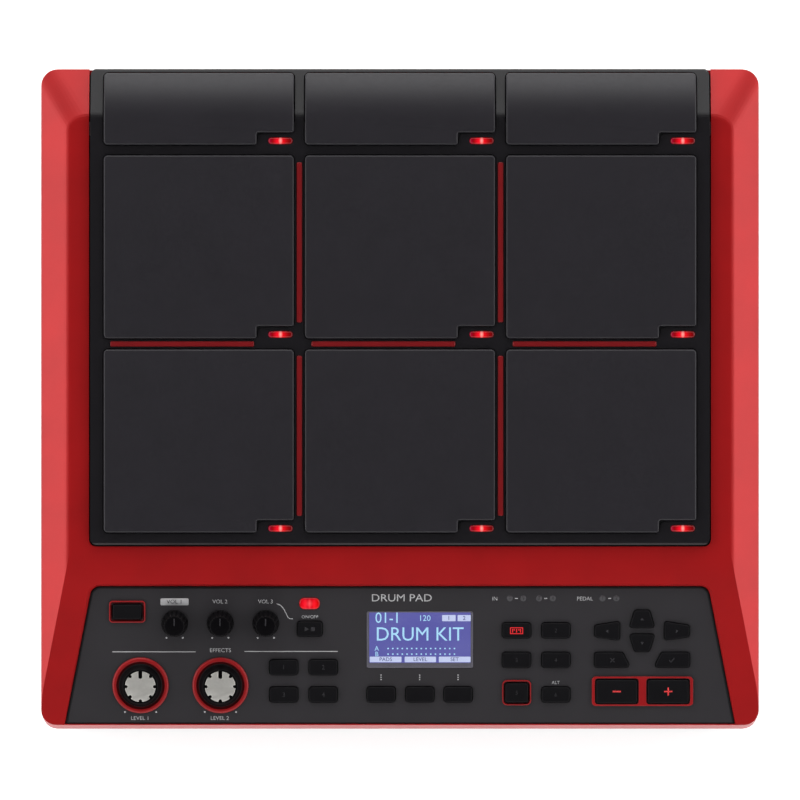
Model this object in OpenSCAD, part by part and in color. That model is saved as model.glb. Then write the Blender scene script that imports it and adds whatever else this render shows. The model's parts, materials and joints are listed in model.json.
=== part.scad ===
/* [Case] */
// Overall width of the case, across X
case_w = 363; // [361:0.5:365]
// Overall depth of the case, across Y
case_d = 330; // [328:0.5:332]
// Radius of the rear corners, seen from above
rear_r = 8.5; // [6:0.5:11]
// Radius of the front corners, seen from above
front_r = 7.5; // [5:0.5:9]
// Wall thickness of the plastic shells
wall = 2.4; // [2.2:0.1:2.5]
// Drop of the chamfer that runs along each side
chamfer_drop = 10; // [8:0.5:11]
// Radius of the soft bend between the pad deck and the front slope
bend_r = 120; // [60:10:140]

/* [Pads] */
// Width of one pad
pad_w = 96; // [92:0.5:96.5]
// Depth of a pad in the two front rows
pad_d = 92.4; // [88:0.2:93]
// Height of the pads above the red bezel
pad_h = 5; // [4:0.25:6]
// Height of the black pad frame above the red bezel
frame_h = 3; // [2:0.25:3.5]
// How far a pad sinks when it is struck
pad_travel = 0.5; // [0.2:0.1:0.5]
// Air between a pad and its well
pad_gap = 0.5; // [0.4:0.1:0.8]
// Width of the red accent strips between the pads
strip_w = 2.9; // [2:0.1:3.2]

/* [Controls] */
// Height of the button caps above the panel
button_h = 1.6; // [1.2:0.1:2.2]
// Air between a button and its hole
button_gap = 0.35; // [0.3:0.05:0.5]
// Height of the three small volume knobs
small_knob_h = 12; // [9:0.5:14]
// Radius of the small knobs at their foot
small_knob_r = 6.8; // [6:0.1:7]
// Radius of the two control knobs at their foot
control_knob_r = 10.6; // [9.5:0.1:10.7]
// Outer radius of the rings round the control knobs
ring_r = 14.25; // [13:0.25:15]

/* [Hidden] */
$fn = 48;
tilt = 5.5;                 // pad deck to the table
front_tilt = 13.85;         // front slope to the table
panel_tilt = 12.5;          // control panel to the table
deck_z = 75.4;              // deck height above the table at y = 0
front_y = -85.2;            // where the deck plane meets the front slope
hw = case_w / 2;
hd = case_d / 2;
skirt_z = 20;               // lower edge of the red case
crease = 141;               // deck-plane y where the rear slope starts
rear_drop = 24;             // rear slope, relative to the deck
flat_hw = hw - 13.5;        // half width of the deck between the side chamfers
panel_z = 64.57;            // height of the control panel plane at front_y
frame_hw = 156.2;
frame_front = -75.7;
frame_rear = 164.9;
pad_pitch_x = 101.5;
pad_rows = [144.45, 74.7, -23.2];
row1_d = 36.5;
notch_w = 18.8;
notch_h = 6.2;
led_dx = 41.2;
led_up = 2.1;
cols = [-1, 0, 1];

function deck(y) = deck_z + y * tan(tilt);
function slope(y) = deck(front_y) + (y - front_y) * tan(front_tilt);
function unit(v) = v / norm(v);
// points of an arc of radius r that rounds the corner V between A and B
function arc(A, V, B, r, n) =
    let (u = unit(A - V), w = unit(B - V), h = acos(u * w) / 2, m = unit(u + w),
         c = V + m * (r / sin(h)), p = V + u * (r / tan(h)), q = V + w * (r / tan(h)),
         a = atan2(p.y - c.y, p.x - c.x), b = atan2(q.y - c.y, q.x - c.x),
         s = ((b - a + 540) % 360) - 180)
    [for (i = [0:n]) c + r * [cos(a + s * i / n), sin(a + s * i / n)]];
// a polygon with each corner rounded
function soft(p, r, n = 4) =
    [for (i = [0:len(p) - 1], q = arc(p[(i + len(p) - 1) % len(p)], p[i], p[(i + 1) % len(p)], r, n)) q];
function box(w, d) = [[-w / 2, -d / 2], [w / 2, -d / 2], [w / 2, d / 2], [-w / 2, d / 2]];

// frames: the deck plane and the control panel plane
module on_deck() { translate([0, 0, deck_z]) rotate([tilt, 0, 0]) children(); }
module on_panel() { translate([0, front_y, panel_z]) rotate([panel_tilt, 0, 0]) children(); }
// a y-z profile swept along X
module along_x(w) { translate([-w / 2, 0, 0]) rotate([90, 0, 90]) linear_extrude(w) children(); }
// an x-z profile swept along Y
module along_y(l) { rotate([90, 0, 0]) linear_extrude(l, center = true) children(); }
module slab(z0, z1) { translate([0, 0, z0]) linear_extrude(z1 - z0) children(); }

// ---------- red upper case ----------
module plan(t) {
    polygon(concat(
        arc([-hw + t, hd], [-hw + t, -hd + t], [hw, -hd + t], front_r - t, 6),
        arc([-hw, -hd + t], [hw - t, -hd + t], [hw - t, hd], front_r - t, 6),
        arc([hw - t, -hd], [hw - t, hd - t], [-hw, hd - t], rear_r - t, 6),
        arc([hw, hd - t], [-hw + t, hd - t], [-hw + t, -hd], rear_r - t, 6)));
}
rear_c = [crease * cos(tilt), deck_z + crease * sin(tilt)];
rear_e = rear_c + 60 * [cos(tilt - rear_drop), sin(tilt - rear_drop)];
module side_profile() {
    polygon(concat(
        [[-hd - 5, skirt_z]],
        [[-hd - 5, slope(-hd - 5)]],
        arc([-hd - 5, slope(-hd - 5)], [front_y, deck(front_y)], [0, deck(0)], bend_r, 6),
        [[hd + 5, deck(hd + 5)], [hd + 5, skirt_z]]));
}
// outline of the deck at one level: half width x, rear edge y, elliptic rear corners
module deck_outline(x, y, a, b, n = 8) {
    polygon(concat([[-x, -400], [x, -400]],
        [for (i = [0:n]) [x - a + a * cos(90 * i / n), y - b + b * sin(90 * i / n)]],
        [for (i = [0:n]) [-x + a - a * sin(90 * i / n), y - b + b * cos(90 * i / n)]]));
}
// the rear slope with its soft crease, and the conical corners that join it to the side chamfers
chamfer_k = chamfer_drop / (hw - flat_hw);
module deck_top() {
    m = [flat_hw - 10, crease - 7];
    hull() {
        for (r = [[0.02, 8.37, 5.3], [-0.1125, 9.425, 6.64], [-0.445, 10.43, 7.93], [-0.982, 11.346, 9.206]])
            slab(r[0] - 0.01, r[0]) deck_outline(m.x + r[1], m.y + r[2], r[1], r[2]);
        slab(-80, -20) deck_outline(flat_hw + 20 / chamfer_k + 0.02, crease + 20 / tan(rear_drop), 8, 10);
    }
}
// the same corners on the inside of the wall
module cavity_top() {
    hull() {
        slab(-2.31, -2.3) deck_outline(flat_hw - 1.05, crease - 1.62, 10, 7);
        slab(-80, -20) deck_outline(flat_hw + 23.2, crease + 38.15, 8, 10);
    }
}
module cross_profile(t) {
    k = hw - flat_hw;
    polygon(concat(
        [[-hw + t, -80]],
        arc([-hw + t, -80], [-hw + t, -chamfer_drop - t * 0.5], [-flat_hw + t * 0.4, -t], 3, 3),
        arc([-hw + t, -chamfer_drop - t * 0.5], [-flat_hw + t * 0.4, -t], [0, -t], 5, 3),
        arc([0, -t], [flat_hw - t * 0.4, -t], [hw - t, -chamfer_drop - t * 0.5], 5, 3),
        arc([flat_hw - t * 0.4, -t], [hw - t, -chamfer_drop - t * 0.5], [hw - t, -80], 3, 3),
        [[hw - t, -80]]));
}
module case_outer() {
    intersection() {
        along_x(case_w + 10) side_profile();
        on_deck() along_y(500) cross_profile(0);
        on_deck() deck_top();
        slab(0, 120) plan(0);
    }
}
module case_inner() {
    drop = 6;
    intersection() {
        along_x(case_w + 10) polygon([
            [-hd - 5, skirt_z - 5], [-hd - 5, slope(-hd - 5) - drop],
            [front_y - 2, slope(front_y - 2) - drop], [front_y + 3, deck(front_y + 3) - wall],
            [rear_c.x - 1, rear_c.y - wall - 0.2], [rear_e.x - 1, rear_e.y - wall - 0.2], [rear_e.x, skirt_z - 5]]);
        on_deck() along_y(500) cross_profile(wall);
        on_deck() cavity_top();
        slab(0, 120) plan(wall);
    }
}
// outline of the control panel plate, in panel coordinates: a trapezoid that flares to the front
module panel_outline(g) {
    polygon(concat([[-169.4 - g, -81 - g], [169.4 + g, -81 - g]],
        arc([169.4 + g, -81], [155.6 + g, -10.9 + g], [0, -10.9 + g], 5, 5),
        arc([0, -10.9 + g], [-155.6 - g, -10.9 + g], [-169.4 - g, -81], 5, 5)));
}
module recess_outline(g) {
    polygon(concat([[-169.4 - g, -81.15], [169.4 + g, -81.15]],
        arc([169.4 + g, -81], [155.6 + g, -10.9 + g], [0, -10.9 + g], 5 + g, 6),
        arc([0, -10.9 + g], [-155.6 - g, -10.9 + g], [-169.4 - g, -81], 5 + g, 6)));
}
screw_xy = [for (x = [-1, 1], y = [-132, -50, 50, 132]) [x * 170, y]];
rear_win = [300, 24.3, 64];   // width, bottom, top of the rear socket bay
module upper_case() {
    color([0.62, 0.07, 0.1]) difference() {
        union() {
            difference() {
                case_outer();
                case_inner();
            }
            intersection() {
                translate([0, 0, -1]) case_outer();
                for (p = screw_xy) translate([p.x, p.y, 9.5]) cylinder(r = 4, h = 100);
            }
        }
        // opening of the pad frame, which runs out over the rear edge
        on_deck() slab(-14.6, 20) polygon(concat(
            arc([-157, 200], [-157, -76.5], [0, -76.5], 3.5, 4),
            arc([0, -76.5], [157, -76.5], [157, 200], 3.5, 4),
            [[157, 200], [-157, 200]]));
        // recess of the control panel with drafted walls
        on_panel() slab(-2.2, 12) panel_outline(0.15);
        on_panel() hull() {
            slab(-0.01, 0) recess_outline(0.15);
            slab(3.5, 3.51) recess_outline(1.9);
        }
        // window under the panel plate
        on_panel() slab(-20, 0) polygon([[-161, -76], [161, -76], [150, -16], [-150, -16]]);
        // bay of the rear panel
        translate([-rear_win[0] / 2, hd - 20, rear_win[1]]) cube([rear_win[0], 40, rear_win[2] - rear_win[1]]);
        // screw holes in the bosses
        for (p = screw_xy) translate([p.x, p.y, 9]) cylinder(r = 1.45, h = 14);
    }
}

// ---------- black bottom case ----------
tub_hw = hw - wall - 0.2;
tub_hd = hd - wall - 0.2;
mount_dx = 120;
mount_dy = 100;
foot_xy = [for (x = [-1, 1], y = [-1, 1]) [x * 145, y * 130]];
mount_xy = [for (x = [-1, 1], y = [-1, 1]) [x * mount_dx / 2, y * mount_dy / 2 + 5]];
board_posts = [for (x = [-1, 1], y = [-1, 1]) [x * 110, y * 70 + 20]];
module bottom_case() {
    color([0.07, 0.07, 0.075]) difference() {
        union() {
            difference() {
                slab(5, 24) polygon(soft([[-tub_hw, -tub_hd], [tub_hw, -tub_hd], [tub_hw, tub_hd], [-tub_hw, tub_hd]], 6, 5));
                slab(7.5, 30) polygon(soft([[-tub_hw + 2.4, -tub_hd + 2.4], [tub_hw - 2.4, -tub_hd + 2.4],
                    [tub_hw - 2.4, tub_hd - 2.4], [-tub_hw + 2.4, tub_hd - 2.4]], 3.6, 4));
            }
            for (p = screw_xy) translate([p.x, p.y, 6]) cylinder(r = 5, h = 3.5);
            for (p = mount_xy) translate([p.x, p.y, 6]) cylinder(r = 7, h = 9);
            for (p = board_posts) translate([p.x, p.y, 6]) cylinder(r = 4, h = 10);
            for (x = [-90, -30, 30, 90]) translate([x - 1, -150, 7]) cube([2, 60, 5]);
        }
        for (p = screw_xy) translate([p.x, p.y, 4]) {
            cylinder(r = 1.8, h = 10);
            cylinder(r = 3.3, h = 3.6);
        }
        for (p = mount_xy) translate([p.x, p.y, 4]) cylinder(r = 4, h = 9);
        for (p = foot_xy) translate([p.x, p.y, 4]) cylinder(r = 9.1, h = 2);
    }
}
module rubber_feet() {
    color([0.04, 0.04, 0.045]) for (p = foot_xy) translate([p.x, p.y, 0])
        rotate_extrude() polygon([[0, 0], [7.2, 0], [8, 0.8], [9, 6], [0, 6]]);
}
module case_screws() {
    color([0.2, 0.2, 0.21]) for (p = screw_xy) translate([p.x, p.y, 5.2]) difference() {
        union() {
            cylinder(r = 2.9, h = 2.3);
            cylinder(r = 1.4, h = 16);
        }
        translate([-1.8, -0.35, -1]) cube([3.6, 0.7, 2]);
        translate([-0.35, -1.8, -1]) cube([0.7, 3.6, 2]);
    }
}
module mount_inserts() {
    color([0.75, 0.6, 0.3]) for (p = mount_xy) translate([p.x, p.y, 5]) difference() {
        cylinder(r = 3.95, h = 8);
        translate([0, 0, -1]) cylinder(r = 2.1, h = 10);
    }
}

// ---------- rear panel and its sockets ----------
bay_y = 150;
sock_z = 44;
phone_x = [for (i = [0:8]) -136 + i * 20];
midi_x = [47, 69];
usb_b_x = 89;
usb_a_x = 108;
dc_x = 128;
module rear_panel() {
    color([0.06, 0.06, 0.065]) difference() {
        translate([-149.8, bay_y, rear_win[1] + 0.1]) cube([299.6, hd - 0.6 - bay_y, 39.5]);
        translate([-147.8, bay_y + 2.5, rear_win[1] + 2.1]) cube([295.6, 40, 35.5]);
        translate([phone_x[0] - 9, bay_y - 1, sock_z - 4.7]) cube([phone_x[8] - phone_x[0] + 18, 6, 9.4]);
        for (x = midi_x) translate([x, bay_y - 1, sock_z]) rotate([-90, 0, 0]) cylinder(r = 8.1, h = 6);
        translate([usb_b_x - 6.2, bay_y - 1, sock_z - 5.7]) cube([12.4, 6, 11.4]);
        translate([usb_a_x - 7.2, bay_y - 1, sock_z - 3.7]) cube([14.4, 6, 7.4]);
        translate([dc_x, bay_y - 1, sock_z]) rotate([-90, 0, 0]) cylinder(r = 5.7, h = 6);
        translate([141 - 3.5, bay_y - 1, sock_z - 1.5]) cube([7, 6, 3]);
    }
}
module phone_sockets() {
    color([0.12, 0.12, 0.13]) for (x = phone_x) translate([x, 0, sock_z]) difference() {
        union() {
            translate([-8, bay_y - 22, -8]) cube([16, 21.9, 15]);
            translate([0, bay_y - 1, 0]) rotate([-90, 0, 0]) cylinder(r = 4.4, h = 6.5);
            translate([-9.7, bay_y + 2.55, -7.5]) cube([19.4, 2, 15]);
        }
        translate([0, bay_y - 19, 0]) rotate([-90, 0, 0]) cylinder(r = 3.3, h = 40);
    }
}
module data_and_power_ports() {
    color([0.3, 0.3, 0.31]) {
        for (x = midi_x) translate([x, 0, sock_z]) difference() {
            union() {
                translate([-9.5, bay_y - 16, -8]) cube([19, 15.9, 17]);
                translate([0, bay_y - 1, 0]) rotate([-90, 0, 0]) cylinder(r = 7.9, h = 4);
            }
            translate([0, bay_y - 6, 0]) rotate([-90, 0, 0]) cylinder(r = 6.6, h = 40);
            for (a = [0, 45, 90, 135, 180]) rotate([0, a, 0]) translate([4.4, bay_y - 14, 0]) rotate([-90, 0, 0]) cylinder(r = 0.7, h = 20);
        }
        translate([usb_b_x, 0, sock_z]) difference() {
            union() {
                translate([-6, bay_y - 15, -8]) cube([12, 14.9, 13.5]);
                translate([-6, bay_y - 1, -5.5]) cube([12, 4.6, 11]);
            }
            translate([-4.3, bay_y - 9, -4.1]) cube([8.6, 40, 8.2]);
        }
        translate([usb_a_x, 0, sock_z]) union() {
            difference() {
                translate([-7, bay_y - 15, -8]) cube([14, 14.9, 11.5]);
                translate([-6.3, bay_y - 11, -2.8]) cube([12.6, 40, 5.6]);
            }
            difference() {
                translate([-7, bay_y - 0.2, -3.5]) cube([14, 3.8, 7]);
                translate([-6.3, bay_y - 11, -2.8]) cube([12.6, 40, 5.6]);
            }
            translate([-5.4, bay_y - 11.5, 0.6]) cube([10.8, 12.5, 1.4]);
        }
        translate([dc_x, 0, sock_z]) union() {
            difference() {
                union() {
                    translate([-5.5, bay_y - 14, -8]) cube([11, 13.9, 14]);
                    translate([0, bay_y - 1, 0]) rotate([-90, 0, 0]) cylinder(r = 5.5, h = 4.6);
                }
                translate([0, bay_y - 9, 0]) rotate([-90, 0, 0]) cylinder(r = 3.2, h = 40);
            }
            translate([0, bay_y - 10, 0]) rotate([-90, 0, 0]) cylinder(r = 1, h = 9);
        }
    }
}
module circuit_boards() {
    color([0.05, 0.28, 0.14]) {
        difference() {
            slab(16.1, 17.7) polygon(soft([[-122, -66], [122, -66], [122, 104], [-122, 104]], 3, 3));
            for (p = board_posts) translate([p.x, p.y, 15]) cylinder(r = 1.6, h = 5);
        }
        translate([-148, 118, sock_z - 9.7]) cube([288, 31.4, 1.6]);
        for (x = [-60, 10]) translate([x, 0, 17.6]) cube([22, 22, 2.2]);
        translate([60, 40, 17.6]) cube([16, 12, 6]);
    }
}

// ---------- pad frame, pads and what lies under them ----------
// y-z profile of the frame: deck, then the rear slope and a rear lip
function rear_z(y, h) = h - (y - crease) * tan(rear_drop);
module frame_profile() {
    polygon(concat(
        [[frame_front, -4], [frame_front, frame_h - 1], [frame_front + 1, frame_h]],
        arc([0, frame_h], [crease, frame_h], [crease + 20, rear_z(crease + 20, frame_h)], 8, 3),
        arc([crease, frame_h], [frame_rear, rear_z(frame_rear, frame_h)], [frame_rear - 0.7, -14.4], 1.2, 3),
        [[frame_rear - 0.7, -14.4], [frame_rear - 3, -14.4], [frame_rear - 3, -13], [crease - 1, -4]]));
}
function pad_pts(d, g) =
    let (w = pad_w / 2 + g, h = d / 2 + g)
    [[-w, -h], [pad_w / 2 - notch_w + g, -h], [pad_w / 2 - notch_w + g, -d / 2 + notch_h - g], [w, -d / 2 + notch_h - g], [w, h], [-w, h]];
module pad_outline(d, g) { polygon(soft(pad_pts(d, g), 2.3 + g, 4)); }
module led_outline(g) { polygon(soft(box(12.4 + g, 3.4 + g), 1.68 + g / 2, 5)); }
module at_leds() {
    for (c = cols, r = [0:2]) let (d = r == 0 ? row1_d : pad_d)
        translate([c * pad_pitch_x + led_dx, pad_rows[r] - d / 2 + led_up, 0]) children();
}
strip_h = [for (c = cols) [c * pad_pitch_x - 8.4, 25.75, 72.6, strip_w]];
strip_v = [for (x = [-0.5, 0.5], y = [77, -20.6]) [x * pad_pitch_x, y, strip_w, 80.8]];
module strips(z0, z1, g) {
    for (s = concat(strip_h, strip_v)) translate([s[0], s[1], 0]) slab(z0, z1) polygon(soft(box(s[2] + g, s[3] + g), 0.8 + g / 2, 4));
}
module pad_frame() {
    color([0.09, 0.085, 0.095]) on_deck() difference() {
        union() {
            intersection() {
                along_x(frame_hw * 2) frame_profile();
                slab(-40, 30) polygon(soft([[-frame_hw, frame_front], [frame_hw, frame_front], [frame_hw, frame_rear], [-frame_hw, frame_rear]], 3, 4));
            }
            translate([-160, -79, -4]) cube([320, 210, 1.5]);
        }
        for (c = cols) {
            for (r = [1, 2]) translate([c * pad_pitch_x, pad_rows[r], 0]) slab(-30, 30) pad_outline(pad_d, pad_gap);
            translate([c * pad_pitch_x, pad_rows[0], 0]) slab(-30, 30) pad_outline(row1_d, pad_gap);
        }
        at_leds() slab(0.9, 20) led_outline(0.2);
        strips(frame_h - 1, 20, 0.2);
    }
}
module accent_strips() { color([0.6, 0.08, 0.12]) on_deck() strips(frame_h - 1, frame_h + 0.5, 0); }
module led_lenses() {
    color([1, 0.2, 0.2]) {
        on_deck() at_leds() slab(0.9, frame_h + 0.5) led_outline(0);
        on_panel() translate([-45.7, -19.6, 0]) slab(-2.2, 0.6) polygon(soft(box(10.5, 5.9), 2.9, 6));
    }
}
module flat_pad(c, r) {
    color([0.17, 0.165, 0.18]) on_deck() translate([c * pad_pitch_x, pad_rows[r], 0]) slab(-1, pad_h) pad_outline(pad_d, 0);
}
// the rear pads are level at the front and round down with the frame behind
module rear_pad(c) {
    y0 = pad_rows[0] - row1_d / 2;
    y1 = pad_rows[0] + row1_d / 2;
    drop = 9;
    run = y1 - crease + 2;
    a = 2 * atan(drop / run);
    big = run / sin(a);
    color([0.17, 0.165, 0.18]) on_deck() intersection() {
        along_x(400) polygon(concat([[y0 - 1, -1], [y0 - 1, pad_h]],
            [for (i = [0:8]) [y1 - run + big * sin(a * i / 8), pad_h - big * (1 - cos(a * i / 8))]],
            [[y1 + 1, pad_h - drop - 1], [y1 + 1, pad_h - drop - 6], [crease, -1]]));
        translate([c * pad_pitch_x, pad_rows[0], 0]) slab(-20, 20) pad_outline(row1_d, 0);
    }
}
module pad_rear_left() { rear_pad(-1); }
module pad_rear_centre() { rear_pad(0); }
module pad_rear_right() { rear_pad(1); }
module pad_middle_left() { flat_pad(-1, 1); }
module pad_middle_centre() { flat_pad(0, 1); }
module pad_middle_right() { flat_pad(1, 1); }
module pad_front_left() { flat_pad(-1, 2); }
module pad_front_centre() { flat_pad(0, 2); }
module pad_front_right() { flat_pad(1, 2); }
module pad_cushions() {
    color([0.35, 0.35, 0.36]) on_deck() for (c = cols) {
        for (r = [1, 2]) translate([c * pad_pitch_x, pad_rows[r] + 3, 0]) difference() {
            slab(-4, -1.7) square([88, 78], center = true);
            slab(-5, 0) circle(r = 16);
        }
        translate([c * pad_pitch_x, 132.5, 0]) difference() {
            slab(-4, -1.7) square([50, 8], center = true);
        }
    }
}
module pad_sensors() {
    color([0.78, 0.62, 0.3]) on_deck() for (c = cols) {
        for (r = [1, 2]) translate([c * pad_pitch_x, pad_rows[r] + 3, 0]) slab(-4, -3.3) circle(r = 13.5);
        translate([c * pad_pitch_x - 36, 132.5, 0]) slab(-4, -3.3) circle(r = 5);
    }
}
module pad_base_plate() {
    color([0.55, 0.56, 0.57]) on_deck() difference() {
        translate([-158, -78, -5.6]) cube([316, 216, 1.6]);
        for (x = [-0.5, 0.5], y = [-20, 75]) translate([x * pad_pitch_x, y, -8]) cylinder(r = 1.7, h = 6);
    }
}

// ---------- control panel ----------
// plain buttons: [x, y, width, depth, corner radius]
power_b = [-137.8, -23.75, 14.6, 7.4, 0.9];
start_b = [-45.6, -32.5, 12.6, 7.7, 1.5];
fx_b = [[-58.8, -52.1, 14.3, 7.8, 1.6], [-38.8, -52.1, 14.3, 7.8, 1.6], [-58.8, -66.1, 14.3, 7.8, 1.6], [-38.8, -66.1, 14.3, 7.8, 1.6]];
soft_b = [[-9.5, -66, 14.4, 7.8, 1.6], [10, -66, 14.4, 7.8, 1.6], [29.4, -66, 14.4, 7.8, 1.6]];
mode_b = [[58.9, -33.3, 14.4, 7.8, 1.6], [78.75, -33.3, 14.4, 7.8, 1.6], [58.9, -48.4, 14.4, 7.8, 1.6],
          [78.75, -48.4, 14.4, 7.8, 1.6], [59, -65.1, 11.5, 9.7, 1.2], [78.75, -66.1, 14.4, 7.8, 1.6]];
value_b = [[109.6, -64.35, 20.7, 11.8, 1.2], [135.6, -64.35, 20.7, 11.8, 1.2]];
// the slanted buttons round the cursor, as corner lists
up_p = [[115.8, -31.9], [128.8, -31.9], [126, -23], [118.6, -23]];
down_p = [[118.6, -44.1], [126, -44.1], [128.8, -35.2], [115.8, -35.2]];
left_p = [[98.3, -36.5], [111, -38.4], [111, -28.7], [98.3, -30.7]];
right_p = [[133.6, -38.4], [146.3, -36.5], [146.3, -30.7], [133.6, -28.7]];
exit_p = [[98.3, -52.2], [116.4, -52.2], [112.6, -44.5], [98.3, -44.5]];
enter_p = [[128.3, -52.2], [146.4, -52.2], [146.4, -44.5], [132.1, -44.5]];
knob_c = [[-113.9, -29.6], [-90.8, -29.6], [-67.8, -29.6]];
control_c = [[-131.2, -61.4], [-90.8, -61.4]];
disp_c = [10.06, -38.08];
disp_w = 53.7;
disp_d = 28.7;
function grown(p, g) =
    let (n = len(p), c = [for (i = [0:n - 1]) let (a = unit(p[i] - p[(i + n - 1) % n]), b = unit(p[(i + 1) % n] - p[i]),
        na = [a.y, -a.x], nb = [b.y, -b.x], m = na + nb) p[i] + m * (g / (1 + na * nb))]) c;
function plain_pts(b) = [for (q = box(b[2], b[3])) q + [b[0], b[1]]];
caps = concat([for (b = concat([power_b, start_b], fx_b, soft_b, mode_b, value_b)) [plain_pts(b), b[4]]],
    [for (p = [up_p, down_p, left_p, right_p, exit_p, enter_p]) [p, 1.3]]);
module cap_outline(i, g) { polygon(soft(grown(caps[i][0], g), caps[i][1] + g, 4)); }
module control_panel() {
    color([0.19, 0.185, 0.195]) on_panel() difference() {
        slab(-2.2, 0) panel_outline(0);
        for (i = [0:len(caps) - 1]) slab(-5, 5) cap_outline(i, button_gap);
        for (c = knob_c) translate([c.x, c.y, -5]) cylinder(r = 4, h = 10);
        for (c = control_c) translate([c.x, c.y, -5]) cylinder(r = 5, h = 10);
        translate([disp_c.x, disp_c.y, 0]) {
            slab(-1.2, 5) polygon(soft(box(disp_w + 0.2, disp_d + 0.2), 0.8, 3));
            slab(-5, 5) square([50, 25], center = true);
        }
        translate([-45.7, -19.6, 0]) slab(-5, 5) polygon(soft(box(10.7, 6.1), 3, 6));
    }
}
module display_window() {
    color([0.42, 0.42, 0.7, 0.9]) on_panel() translate([disp_c.x, disp_c.y, 0]) slab(-1.2, 0.25) polygon(soft(box(disp_w, disp_d), 0.7, 3));
}
module display_module() {
    color([0.3, 0.32, 0.5]) on_panel() translate([disp_c.x, disp_c.y, 0]) {
        slab(-2.5, -1.25) square([49.6, 24.6], center = true);
        slab(-7.5, -2.4) square([56, 27.5], center = true);
    }
}
module frame_ring(p, r, band, z0, z1) {
    difference() {
        slab(z0, z1) polygon(soft(grown(p, band), r + band, 4));
        slab(z0 - 1, z1 + 1) polygon(soft(p, r, 4));
    }
}
module trim_frames() {
    color([0.6, 0.08, 0.12]) on_panel() {
        for (c = control_c) translate([c.x, c.y, 0]) rotate_extrude($fn = 96)
            polygon([[11, 0], [ring_r, 0], [ring_r, 0.7], [ring_r - 0.6, 1.3], [11.5, 1.3], [11, 0.9]]);
        frame_ring(grown(plain_pts(power_b), 0.4), 1.1, 1.4, 0, 1.1);
        frame_ring(grown(plain_pts(mode_b[4]), 0.4), 1.3, 1.1, 0, 1.1);
        difference() {
            slab(0, 1.1) polygon(soft([for (q = box(51.2, 15)) q + [122.6, -64.35]], 2, 5));
            for (b = value_b) slab(-1, 3) polygon(soft(grown(plain_pts(b), 0.4), 1.5, 4));
        }
    }
}
// a button: cap, and a flange that holds it under the panel
module button(i) {
    color([0.075, 0.07, 0.085]) on_panel() {
        slab(-3.4, button_h) cap_outline(i, 0);
        slab(-3.4, -2.75) cap_outline(i, 0.75);
    }
}
module power_button() { button(0); }
module start_stop_button() { button(1); }
module effect_button_1() { button(2); }
module effect_button_2() { button(3); }
module effect_button_3() { button(4); }
module effect_button_4() { button(5); }
module soft_button_1() { button(6); }
module soft_button_2() { button(7); }
module soft_button_3() { button(8); }
module mode_button_1() { button(9); }
module mode_button_2() { button(10); }
module mode_button_3() { button(11); }
module mode_button_4() { button(12); }
module mode_button_5() { button(13); }
module mode_button_6() { button(14); }
module minus_button() { button(15); }
module plus_button() { button(16); }
module cursor_up_button() { button(17); }
module cursor_down_button() { button(18); }
module cursor_left_button() { button(19); }
module cursor_right_button() { button(20); }
module exit_button() { button(21); }
module enter_button() { button(22); }
// a small knob: round foot, ribbed tapering body, level top, shaft below
module small_knob(i) {
    color([0.08, 0.075, 0.09]) on_panel() translate([knob_c[i].x, knob_c[i].y, 0]) {
        difference() {
            union() {
                translate([0, 0, 0.4]) cylinder(r = small_knob_r, h = 1.6);
                translate([0, 0, 1.9]) cylinder(r1 = small_knob_r - 0.3, r2 = small_knob_r - 1.3, h = small_knob_h - 2.5);
                translate([0, 0, small_knob_h - 0.7]) cylinder(r1 = small_knob_r - 1.3, r2 = small_knob_r - 1.9, h = 0.7);
            }
            for (a = [0:22.5:359]) rotate([0, 0, a + 11.25]) translate([small_knob_r + 0.25, 0, 2.6]) cylinder(r = 0.85, h = 20, $fn = 20);
        }
        translate([0, 0, -7]) cylinder(r = 3, h = 8);
    }
}
module master_volume_knob() { small_knob(0); }
module phones_volume_knob() { small_knob(1); }
module click_volume_knob() { small_knob(2); }
// a control knob: low black skirt and shaft, with a metal cap pressed into its top
module control_knob(i) {
    color([0.08, 0.075, 0.09]) on_panel() translate([control_c[i].x, control_c[i].y, 0]) {
        difference() {
            union() {
                translate([0, 0, 0.4]) cylinder(r = control_knob_r, h = 1.4);
                translate([0, 0, 1.7]) cylinder(r1 = control_knob_r - 0.2, r2 = control_knob_r - 2, h = 2.8);
            }
            translate([0, 0, 3.5]) cylinder(r = 7.8, h = 4);
        }
        translate([0, 0, -7]) cylinder(r = 3, h = 8);
    }
}
module control_cap(i) {
    color([0.78, 0.77, 0.75]) on_panel() translate([control_c[i].x, control_c[i].y, 0]) difference() {
        rotate_extrude() polygon([[0, 3.5], [7.75, 3.5], [7.75, 5.1], [7.3, 5.6], [5.2, 5.5], [0, 5.35]]);
        // eight notches in its edge, and at the rear one the long pointer slot
        for (a = [0:45:359]) rotate([0, 0, a]) translate([7.25, 0, 4.6]) {
            cylinder(r = 0.85, h = 3, $fn = 24);
            translate([0, -0.85, 0]) cube([2, 1.7, 3]);
        }
        translate([0, 4.85, 4.6]) {
            cylinder(r = 1, h = 3, $fn = 24);
            translate([-1, 0, 0]) cube([2, 4, 3]);
        }
    }
}
module control_knob_left() { control_knob(0); }
module control_knob_right() { control_knob(1); }
module control_cap_left() { control_cap(0); }
module control_cap_right() { control_cap(1); }
function mid(p) = [for (k = [0, 1]) (min([for (q = p) q[k]]) + max([for (q = p) q[k]])) / 2];
module panel_board() {
    color([0.05, 0.28, 0.14]) on_panel() difference() {
        slab(-12.2, -10.6) polygon([[-156, -73], [156, -73], [150, -15], [-150, -15]]);
        for (x = [-145, -20, 48, 145], y = [-18, -70]) translate([x, y, -14]) cylinder(r = 1.6, h = 6);
    }
}
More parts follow.
